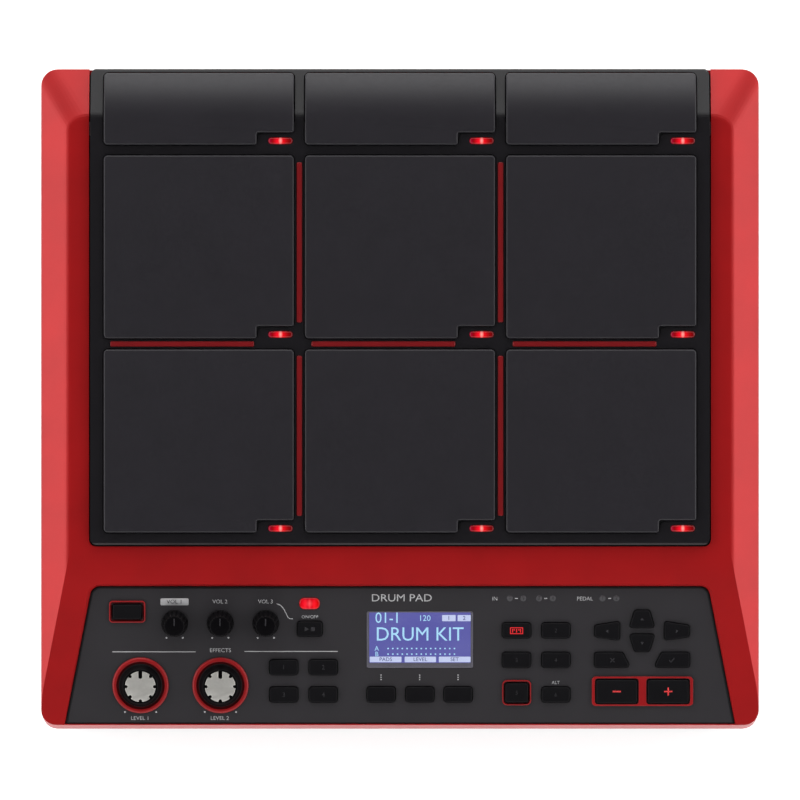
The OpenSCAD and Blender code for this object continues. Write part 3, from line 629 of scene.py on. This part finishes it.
ob = ring_frame("power_bezel", grown(power[0], 0.45), 0.4, 1.4, w=0.78)
ride(ob, "trim_frames", "trim_frames", slot="trim_red")
ob = ring_frame("mode_bezel", grown(mode[4][0], 0.45), 1.4, 1.1, w=0.5)
ride(ob, "trim_frames", "trim_frames", slot="trim_red")

# the bezel round minus and plus: one frame with two windows
def value_frame():
    import bmesh
    outer = soft(rect(51.2, 15, 122.6, -64.35), 2.0, 7)
    wins = [soft(grown(b[0], 0.72), 1.5, 6) for b in value]
    curve = bpy.data.curves.new("value_outline", "CURVE")
    curve.dimensions = "2D"
    curve.fill_mode = "BOTH"
    for p in [outer] + wins:
        sp = curve.splines.new("POLY")
        sp.points.add(len(p) - 1)
        for q, (x, y) in zip(sp.points, p):
            q.co = (x, y, 0, 1)
        sp.use_cyclic_u = True
    curve.extrude = 0.35
    curve.bevel_depth = 0.2
    curve.bevel_resolution = 3
    curve.offset = -0.2
    tmp = bpy.data.objects.new("value_tmp", curve)
    scene.collection.objects.link(tmp)
    bpy.context.view_layer.update()
    me = bpy.data.meshes.new_from_object(tmp)
    bpy.data.objects.remove(tmp)
    me.transform(Matrix.Scale(MM, 4) @ PANEL @ Matrix.Translation((0, 0, 0.55)))
    me.materials.clear()
    me.materials.append(trim.m)
    bm = bmesh.new()
    bm.from_mesh(me)
    bmesh.ops.remove_doubles(bm, verts=bm.verts[:], dist=1e-6)
    bmesh.ops.recalc_face_normals(bm, faces=bm.faces[:])
    bm.to_mesh(me)
    bm.free()
    for f in me.polygons:
        f.use_smooth = True
        f.material_index = 0
    sharpen(me, 40)
    o = bpy.data.objects.new("value_bezel", me)
    scene.collection.objects.link(o)
    return o


ob = value_frame()
ride(ob, "trim_frames", "trim_frames", slot="trim_red")
CTRL = {"left": (-131.2, -61.4), "right": (-90.8, -61.4)}
for side, c in CTRL.items():
    prof = [(11.0, 0.0), (11.0, 0.06), (11.55, 0.12), (11.85, 0.3), (12.02, 0.8), (12.12, 1.1), (12.3, 1.24), (12.8, 1.3), (13.4, 1.26), (13.9, 1.05), (14.18, 0.65), (14.25, 0.0)]
    v, f = lathe(prof, c, 128)
    f = [tuple(reversed(q)) for q in f]
    # the inner slope and floor of each ring take the darker red: painted shade
    ob = finish_mesh(f"control_ring_{side}", v, f, PANEL, trim, [trim, trim_painted_shade], [1 if i < 5 * 128 else 0 for i in range(len(f))], smooth=50)
    ride(ob, "trim_frames", "trim_frames", slot="trim_red")

# ---------------------------------------------------------------- knobs
SMALL = {"master_volume_knob": (-113.9, -29.6), "phones_volume_knob": (-90.8, -29.6), "click_volume_knob": (-67.8, -29.6)}


def small_knob(name, c):
    """Round foot, ribbed tapering body, soft top edge."""
    seg, H, R = 192, 12.0, 6.8
    levels = [(0.4, 0), (0.9, 0), (1.7, 0), (2.0, 0), (2.3, 1)]
    prof = [(-0.02, 0.4, 0), (0.0, 0.55, 0), (0.0, 1.7, 0), (-0.1, 1.95, 0), (-0.28, 2.05, 0)]
    for i in range(15):
        t = i / 14
        prof.append((-0.32 - 1.0 * t, 2.2 + (H - 3.0) * t, 1))
    prof += [(-1.42, H - 0.5, 0.75), (-1.62, H - 0.22, 0.5), (-1.9, H - 0.06, 0.22), (-2.25, H, 0.05)]
    rings = []
    for off, z, k in prof:
        ring = []
        for i in range(seg):
            a = 2 * math.pi * i / seg
            rib = 0.0
            if k:
                u = (a * 16 / (2 * math.pi)) % 1.0
                rib = -0.62 * max(0.0, math.cos((u - 0.5) * 2 * math.pi * 0.62)) ** 1.6 * k if abs(u - 0.5) < 0.4 else 0.0
            r = R + off + rib
            ring.append((c[0] + r * math.cos(a), c[1] + r * math.sin(a), z))
        rings.append(ring)
    v, f = rings_mesh(rings)
    return finish_mesh(name, v, f, PANEL, knob, smooth=45)


for n, c in SMALL.items():
    ob = small_knob(n + "_body", c)
    ride(ob, n, n, slot="knob_black")
    # moulded pointer line on the top
    o = soft(rect(0.6, 3.8, c[0], c[1] + 2.0), 0.28, 4)
    ob = prism(n + "_pointer", o, 11.8, 12.08, 0.1, PANEL, dim, steps=2)
    ride(ob, n, slot="knob_black")


def control_skirt(name, c):
    """The low black skirt: a dished collar."""
    seg = 256
    prof = [(10.35, 0.4), (10.55, 0.55), (10.6, 1.5), (10.45, 1.85), (10.2, 2.1), (9.6, 3.3), (9.05, 4.2), (8.8, 4.5), (8.5, 4.62), (8.15, 4.55), (7.95, 4.3), (7.9, 3.6)]
    rings = []
    for r, z in prof:
        rings.append([(c[0] + r * math.cos(2 * math.pi * i / seg), c[1] + r * math.sin(2 * math.pi * i / seg), z) for i in range(seg)])
    v, f = rings_mesh(rings)
    return finish_mesh(name, v, f, PANEL, knob, smooth=50)


def control_cap(name, c, mat):
    """Spun disc with eight round-bottomed notches; the rear one is the long pointer slot."""
    R = 7.75
    pts = []
    half = 0.86
    for k in range(8):
        mid_a = math.pi / 2 + k * math.pi / 4
        depth = 3.9 if k == 0 else 1.35
        hw = 1.0 if k == 0 else half
        da = math.asin(hw / R)
        # arc from the previous notch to this one
        prev = mid_a - math.pi / 4
        pda = math.asin((1.0 if k == 1 else half) / R)
        a0, a1 = prev + pda, mid_a - da
        for i in range(9):
            a = a0 + (a1 - a0) * i / 8
            pts.append((R * math.cos(a), R * math.sin(a)))
        # the notch: straight sides and a round bottom
        ux, uy = math.cos(mid_a), math.sin(mid_a)
        tx, ty = -uy, ux
        cc = R - depth + hw
        for i in range(9):
            b = -math.pi / 2 + math.pi * i / 8
            q = (-math.cos(b) * hw, math.sin(b) * hw)
            pts.append((ux * (cc + q[0]) + tx * q[1], uy * (cc + q[0]) + ty * q[1]))
    pts = [(c[0] + x, c[1] + y) for x, y in pts]
    o = pts
    prof = [(0.0, 3.6), (0.0, 5.15), (-0.05, 5.38), (-0.16, 5.52), (-0.3, 5.58)]
    rings = [[(x, y, z) for x, y in grown(o, g)] for g, z in prof]
    v, f = rings_mesh(rings)
    return finish_mesh(name, v, f, PANEL, mat, smooth=40)


for side, c in CTRL.items():
    n = f"control_knob_{side}"
    ob = control_skirt(n + "_skirt", c)
    ride(ob, n, n, slot="knob_black")
    centre = MM * (PANEL @ Vector((c[0], c[1], 5.5)))
    cm = spun(f"cap_silver_{side}", tuple(centre))
    ob = control_cap(f"control_cap_{side}_disc", c, cm)
    ride(ob, n, f"control_cap_{side}", slot="cap_silver")

# ---------------------------------------------------------------- display
DX, DY, DW, DD = 10.06, -38.08, 53.7, 28.7
lcd_bg = emissive("lcd_background", srgb(92, 92, 166), 1.0)
lcd_fg = emissive("lcd_light", srgb(172, 222, 252), 1.0)
lcd_hi = emissive("lcd_tag", srgb(196, 206, 240), 1.0)
lcd_dk = emissive("lcd_dark", srgb(58, 58, 120), 1.0)


def flat(name, outlines, z, place, mat, thick=0.03):
    """Thin printed or lit marks: closed outlines, extruded by thick."""
    verts, faces = [], []
    for o in outlines:
        n = len(o)
        b = len(verts)
        verts += [(x, y, z) for x, y in o] + [(x, y, z + thick) for x, y in o]
        faces.append(tuple(range(b + n, b + 2 * n)))
        faces.append(tuple(reversed(range(b, b + n))))
        faces += [(b + i, b + (i + 1) % n, b + n + (i + 1) % n, b + n + i) for i in range(n)]
    return finish_mesh(name, verts, faces, place, mat, smooth=0)


def text_mesh(name, items, z, place, mat, thick=0.03):
    """Plain generic wording: items are (text, x, y, height mm, width scale), centred."""
    parts = []
    for s, x, y, h, wx in items:
        cu = bpy.data.curves.new("t", "FONT")
        cu.body = s
        cu.size = 1.0
        cu.align_x = "CENTER"
        cu.align_y = "CENTER"
        cu.resolution_u = 3
        cu.extrude = 0.05
        ob = bpy.data.objects.new("t", cu)
        scene.collection.objects.link(ob)
        bpy.context.view_layer.update()
        me = bpy.data.meshes.new_from_object(ob)
        bpy.data.objects.remove(ob)
        k = h / 0.73
        parts.append(([(x + v.co.x * k * wx, y + v.co.y * k, z + thick if v.co.z > 0 else z) for v in me.vertices],
                      [tuple(p.vertices) for p in me.polygons]))
        bpy.data.meshes.remove(me)
    verts, faces = [], []
    for vs, fs in parts:
        seen, index = {}, []
        for v in vs:
            q = tuple(round(c, 4) for c in v)
            if q not in seen:
                seen[q] = len(verts)
                verts.append(v)
            index.append(seen[q])
        for f in fs:
            g = [index[i] for i in f]
            g = [i for n, i in enumerate(g) if i != g[n - 1]]
            if len(set(g)) > 2 and len(set(g)) == len(g):
                faces.append(tuple(g))
    return finish_mesh(name, verts, faces, place, mat, smooth=0)


# window body with its grey surround, then the lit field
o = soft(rect(DW, DD, DX, DY), 0.9, 5)
ob = prism("display_surround", o, -1.15, 0.25, 0.15, PANEL, bezel, steps=3)
ride(ob, "display_window", "display_window", slot="display_window")
LX0, LX1, LY0, LY1 = -15.6, 35.7, -49.9, -24.2
ob = flat("display_field", [soft(rect(LX1 - LX0, LY1 - LY0, (LX0 + LX1) / 2, (LY0 + LY1) / 2), 0.4, 3)], 0.26, PANEL, lcd_bg)
ride(ob, "display_window")


def qx(px):
    return (px - 400.3) * 0.5045


def qy(py):
    return ((400 - py) * 0.5045 + 82.78) * 1.00751


def prect(x0, y0, x1, y1, r=0.0):
    p = [(x0, y1), (x1, y1), (x1, y0), (x0, y0)]
    p = [(qx(a), qy(b)) for a, b in p]
    return soft(p, r, 3) if r else p


bars = [prect(387.6 + i * 4.75, yy, 387.6 + i * 4.75 + 1.5, yy + 1.3, 0.1) for yy in (647.2, 652.8) for i in range(15)]
ob = flat("display_bars", bars, 0.30, PANEL, lcd_fg)
ride(ob, "display_window")
tags = [prect(442.5, 614.2, 456, 620.4, 0.3), prect(458, 614.2, 471.2, 620.4, 0.3)]
tags += [prect(a, 656, b, 661.6, 0.3) for a, b in ((370, 401.8), (405, 436.4), (439.2, 471))]
ob = flat("display_tags", tags, 0.30, PANEL, lcd_hi)
ride(ob, "display_window")
ob = text_mesh("display_text", [
    ("01-1", qx(388), qy(617.5), 5.6, 0.92), ("120", qx(425), qy(617.6), 3.0, 1.0),
    ("DRUM KIT", qx(420), qy(634), 7.2, 0.98),
    ("A", qx(377), qy(648), 2.4, 1.0), ("B", qx(377), qy(653.6), 2.4, 1.0)], 0.30, PANEL, lcd_fg)
ride(ob, "display_window")
ob = text_mesh("display_tag_text", [("1", qx(449.2), qy(617.4), 2.2, 1), ("2", qx(464.6), qy(617.4), 2.2, 1),
    ("PADS", qx(386), qy(658.8), 2.0, 1.0), ("LEVEL", qx(420.6), qy(658.8), 2.0, 1.0), ("SET", qx(455), qy(658.8), 2.0, 1.0)],
    0.34, PANEL, lcd_dk)
ride(ob, "display_window")
# clear cover over the lit field
glass = Mat("display_glass", (0.01, 0.01, 0.02, 1), rough=0.06, spec=0.4)
glass.p.inputs["Alpha"].default_value = 0.05
glass.bump(900, 0.02, 0.00002)
ob = prism("display_cover", soft(rect(DW - 1.2, DD - 1.2, DX, DY), 0.6, 4), 0.42, 0.6, 0.08, PANEL, glass, steps=2)
ride(ob, "display_window", slot="display_window")

# ---------------------------------------------------------------- printed marks on the panel
Z = 0.012


def circle(x, y, r, n=20):
    return [(x + r * math.cos(2 * math.pi * i / n), y + r * math.sin(2 * math.pi * i / n)) for i in range(n)]


def line(x0, y0, x1, y1, w=0.42):
    d = math.hypot(x1 - x0, y1 - y0)
    nx, ny = -(y1 - y0) / d * w / 2, (x1 - x0) / d * w / 2
    return [(x0 - nx, y0 - ny), (x1 - nx, y1 - ny), (x1 + nx, y1 + ny), (x0 + nx, y0 + ny)]


# painted shade: a thin dark strip for the shadowed edge where the plate drops into its recess
o = soft([(-169.35, -80.95), (169.35, -80.95), (155.55, -10.95), (-155.55, -10.95)], [0.3, 0.3, 5, 5], 8)
inner = soft([(-168.0, -80.4), (168.0, -80.4), (154.65, -12.1), (-154.65, -12.1)], [0.2, 0.2, 4.2, 4.2], 8)
rings = [[(x, y, z) for x, y in q] for q, z in ((o, 0.0), (o, 0.05), (inner, 0.03), (inner, 0.0), (o, 0.0))]
v, f = rings_mesh(rings, False, False)
ob = finish_mesh("panel_edge_shadow", v, f, PANEL, painted_gap_shade, smooth=0)
ride(ob, "control_panel")

marks = []
for n, c in SMALL.items():
    marks += [circle(c[0] - 4.1, c[1] - 7.5, 0.5), circle(c[0] + 4.1, c[1] - 7.5, 0.5)]
for c in CTRL.values():
    marks += [circle(c[0] - 7.9, c[1] - 13.6, 0.5), circle(c[0] + 7.9, c[1] - 13.6, 0.5)]
marks += [line(-145.4, -44.3, -103.3, -44.3), line(-78.6, -44.1, -31.5, -44.1)]
path = [(276.7, 602.9), (280.6, 604.4), (283.9, 608.2), (286.4, 613.2), (288.2, 617.0), (290.0, 618.0), (293.0, 618.1)]
pts = [(qx(a), qy(b)) for a, b in path]
marks += [line(*pts[i], *pts[i + 1], 0.4) for i in range(len(pts) - 1)]
for px in (381.3, 420, 458.5):
    marks += [circle(qx(px), qy(py), 0.34) for py in (674.6, 676.8, 679.0)]
for px in (516.8, 546.2, 610.2):
    marks += [rect(1.5, 0.5, qx(px), qy(597.6))]
ob = flat("panel_marks", marks, Z, PANEL, grey)
ride(ob, "control_panel")


ob = flat("panel_number_discs", [circle(qx(p), qy(597.6), 1.55) for p in (510.2, 523.7, 539.6, 553.3, 603.1, 616.9)], Z, PANEL, mid)
ride(ob, "control_panel")
ob = text_mesh("panel_numbers", [(t_, qx(p), qy(597.6), 1.8, 1) for t_, p in zip("123412", (510.2, 523.7, 539.6, 553.3, 603.1, 616.9))], Z + 0.04, PANEL, charcoal)
ride(ob, "control_panel")
ob = flat("label_box", [soft(rect(14.2, 3.6, -113.9, -18.8), 0.6, 4)], Z, PANEL, grey)
ride(ob, "control_panel")
ob = text_mesh("label_box_text", [("VOL 1", -113.9, -18.8, 2.1, 1.05)], Z + 0.04, PANEL, charcoal)
ride(ob, "control_panel")
T = 2.05
labels = [
    ("VOL 2", qx(220), qy(601), T, 1.0), ("VOL 3", qx(265.7), qy(601), T, 1.0), ("ON/OFF", qx(310), qy(616.3), 1.7, 1.0),
    ("EFFECTS", -90.8, -43.6, T, 1.05), ("LEVEL 1", qx(139.7), qy(718), T, 1.0), ("LEVEL 2", qx(219.6), qy(718), T, 1.0),
    ("ALT", 78.75, -60.1, 1.7, 1.0), ("IN", qx(495.3), qy(598), T, 1.0), ("PEDAL", qx(585.4), qy(598), T, 1.0),
]
ob = text_mesh("panel_labels", labels, Z, PANEL, grey)
ride(ob, "control_panel")
ob = text_mesh("panel_title", [("DRUM PAD", qx(402), qy(597.4), 3.9, 1.15)], Z, PANEL, grey)
ride(ob, "control_panel")


# marks on the buttons ride with their button
def button_text(n, s, h, wx=1.0, mat=dim):
    p = caps[n][0]
    cx = (min(q[0] for q in p) + max(q[0] for q in p)) / 2
    cy = (min(q[1] for q in p) + max(q[1] for q in p)) / 2
    ob = text_mesh(n + "_mark", [(s, cx, cy, h, wx)], 1.6, PANEL, mat)
    ride(ob, n)


def button_shape(n, outlines, mat=dim, tag="sign"):
    p = caps[n][0]
    cx = (min(q[0] for q in p) + max(q[0] for q in p)) / 2
    cy = (min(q[1] for q in p) + max(q[1] for q in p)) / 2
    ob = flat(f"{n}_{tag}", [[(cx + x, cy + y) for x, y in o] for o in outlines], 1.59, PANEL, mat, 0.04)
    ride(ob, n)


for i, s in enumerate(("1", "2", "3", "4")):
    button_text(f"effect_button_{i + 1}", s, 2.4)
for i, s in enumerate(("", "2", "3", "4", "5", "6")):
    if s:
        button_text(f"mode_button_{i + 1}", s, 2.0)
button_shape("exit_button", [line(-1, -1, 1, 1, 0.45), line(-1, 1, 1, -1, 0.45)])
button_shape("enter_button", [line(-1.3, 0, -0.4, -1, 0.45), line(-0.4, -1, 1.3, 1.1, 0.45)])
lit = emissive("lit_legend", srgb(225, 40, 45), 1.0)
p = [rect(6.6, 0.4, 0, 1.5), rect(6.6, 0.4, 0, -1.5), rect(0.4, 2.6, -3.1, 0), rect(0.4, 2.6, 3.1, 0)]
p += [rect(0.5, 1.9, x, 0) for x in (-2.0, 0, 2.0)] + [rect(0.5, 0.9, x, 0.5) for x in (-1.2, 1.2)]
button_shape("mode_button_1", p, lit, "legend")
tri = [(-0.9, -0.6), (0.9, -0.6), (0, 0.8)]
rot = lambda o, a: [(x * math.cos(a) - y * math.sin(a), x * math.sin(a) + y * math.cos(a)) for x, y in o]
button_shape("cursor_up_button", [tri])
button_shape("cursor_down_button", [rot(tri, math.pi)])
button_shape("cursor_left_button", [rot(tri, math.pi / 2)])
button_shape("cursor_right_button", [rot(tri, -math.pi / 2)])
button_shape("start_stop_button", [[(-2.6, -1.2), (-0.4, 0), (-2.6, 1.2)], rect(2.0, 2.0, 1.5, 0)])
button_shape("minus_button", [rect(4.2, 0.75)], redprint)
button_shape("plus_button", [rect(4.2, 0.75), rect(0.75, 1.7, 0, 1.22), rect(0.75, 1.7, 0, -1.22)], redprint)

# ---------------------------------------------------------------- stage, light, camera
floor_mat = Mat("floor", (0.93, 0.93, 0.93, 1), rough=0.9, spec=0.1)
floor_mat.vary(2, 0.995, 1.005)
floor_mat.glow((1, 1, 1, 1), 0.5)
me = bpy.data.meshes.new("floor")
me.from_pydata([(-8, -8, 0), (8, -8, 0), (8, 8, 0), (-8, 8, 0)], [], [(0, 1, 2, 3)])
me.materials.append(floor_mat.m)
fl = bpy.data.objects.new("floor", me)
scene.collection.objects.link(fl)

world = bpy.data.worlds.new("studio")
scene.world = world
world.use_nodes = True
t = world.node_tree
bg = t.nodes["Background"]
tc = t.nodes.new("ShaderNodeTexCoord")
nrm = t.nodes.new("ShaderNodeVectorMath"); nrm.operation = "NORMALIZE"
t.links.new(tc.outputs["Generated"], nrm.inputs[0])


def lobe(direction, power, strength):
    """Light from one direction, with a soft edge."""
    d = t.nodes.new("ShaderNodeVectorMath"); d.operation = "DOT_PRODUCT"
    v = Vector(direction).normalized()
    d.inputs[1].default_value = v
    t.links.new(nrm.outputs[0], d.inputs[0])
    mx = t.nodes.new("ShaderNodeMath"); mx.operation = "MAXIMUM"; mx.inputs[1].default_value = 0.0
    t.links.new(d.outputs["Value"], mx.inputs[0])
    pw = t.nodes.new("ShaderNodeMath"); pw.operation = "POWER"; pw.inputs[1].default_value = power
    t.links.new(mx.outputs[0], pw.inputs[0])
    ml = t.nodes.new("ShaderNodeMath"); ml.operation = "MULTIPLY"; ml.inputs[1].default_value = strength
    t.links.new(pw.outputs[0], ml.inputs[0])
    return ml.outputs[0]


def add(a, b):
    n = t.nodes.new("ShaderNodeMath"); n.operation = "ADD"
    t.links.new(a, n.inputs[0]); t.links.new(b, n.inputs[1])
    return n.outputs[0]


# a dark patch straight above the deck, where the studio ceiling has no lamps
axis = Vector((0, -0.0958, 0.9954)).normalized()
d = t.nodes.new("ShaderNodeVectorMath"); d.operation = "DOT_PRODUCT"
d.inputs[1].default_value = axis
t.links.new(nrm.outputs[0], d.inputs[0])
ramp = t.nodes.new("ShaderNodeValToRGB")
els = ramp.color_ramp.elements
els[0].position, els[0].color = 0.0, (1, 1, 1, 1)
els[1].position, els[1].color = 1.0, (0.01, 0.01, 0.01, 1)
for pos, v in ((0.45, 1.0), (0.643, 0.6), (0.766, 0.2), (0.866, 0.04), (0.94, 0.012)):
    e = els.new(pos)
    e.color = (v, v, v, 1)
t.links.new(d.outputs["Value"], ramp.inputs["Fac"])
def math_node(op, a, b, c=None):
    n = t.nodes.new("ShaderNodeMath"); n.operation = op
    for i, v in enumerate((a, b, c)):
        if v is None:
            continue
        if isinstance(v, (int, float)):
            n.inputs[i].default_value = v
        else:
            t.links.new(v, n.inputs[i])
    return n.outputs[0]


sep = t.nodes.new("ShaderNodeSeparateXYZ")
t.links.new(nrm.outputs[0], sep.inputs[0])
xy = math_node("MULTIPLY", sep.outputs["X"], sep.outputs["Y"])
s2 = math_node("SUBTRACT", 1.0001, math_node("MULTIPLY", sep.outputs["Z"], sep.outputs["Z"]))
q2 = math_node("DIVIDE", math_node("MULTIPLY", xy, 2.0), s2)
corner = math_node("SUBTRACT", 1.0, math_node("MULTIPLY", math_node("MULTIPLY", q2, q2), 0.55))
front = math_node("MAXIMUM", math_node("MULTIPLY", sep.outputs["Y"], -1.0), 0.0)
front = math_node("SUBTRACT", 1.0, math_node("MULTIPLY", math_node("MULTIPLY", front, front), 0.25))
level = math_node("MULTIPLY", ramp.outputs["Color"], math_node("MULTIPLY", corner, front))
low = math_node("MINIMUM", math_node("MULTIPLY_ADD", sep.outputs["Z"], 3.2, 0.35), 1.0)
sc = t.nodes.new("ShaderNodeMath"); sc.operation = "MULTIPLY"; sc.inputs[1].default_value = 3.3
t.links.new(math_node("MULTIPLY", level, low), sc.inputs[0])
lobes = [lobe((1, 0, 0.35), 4.0, 0.12), lobe((-1, 0, 0.35), 4.0, 0.12), lobe((0, 1, 0.55), 16.0, 1.3)]
total = sc.outputs[0]
for l in lobes:
    total = add(total, l)
t.links.new(total, bg.inputs["Strength"])
bg.inputs["Color"].default_value = (1.0, 1.0, 1.0, 1)

cam = bpy.data.cameras.new("camera")
cam.sensor_width = 36
DIST = 6.0
SIDE = 0.8 * 0.5048
cam.lens = 36 * DIST / SIDE
cam.clip_start, cam.clip_end = 0.1, 40
co = bpy.data.objects.new("camera", cam)
scene.collection.objects.link(co)
el = math.radians(84.5)
target = DECK @ Vector((0, 0, 0))
up = Vector((0, math.sin(el), math.cos(el)))
mid = Vector((0, 0, 0.0754)) + up * (0.0047 - 0.0754 * math.cos(el)) * 1.0
view = Vector((0, -math.cos(el), math.sin(el)))
co.location = mid + view * DIST
co.rotation_euler = (math.radians(90) - el, 0, 0)
scene.camera = co
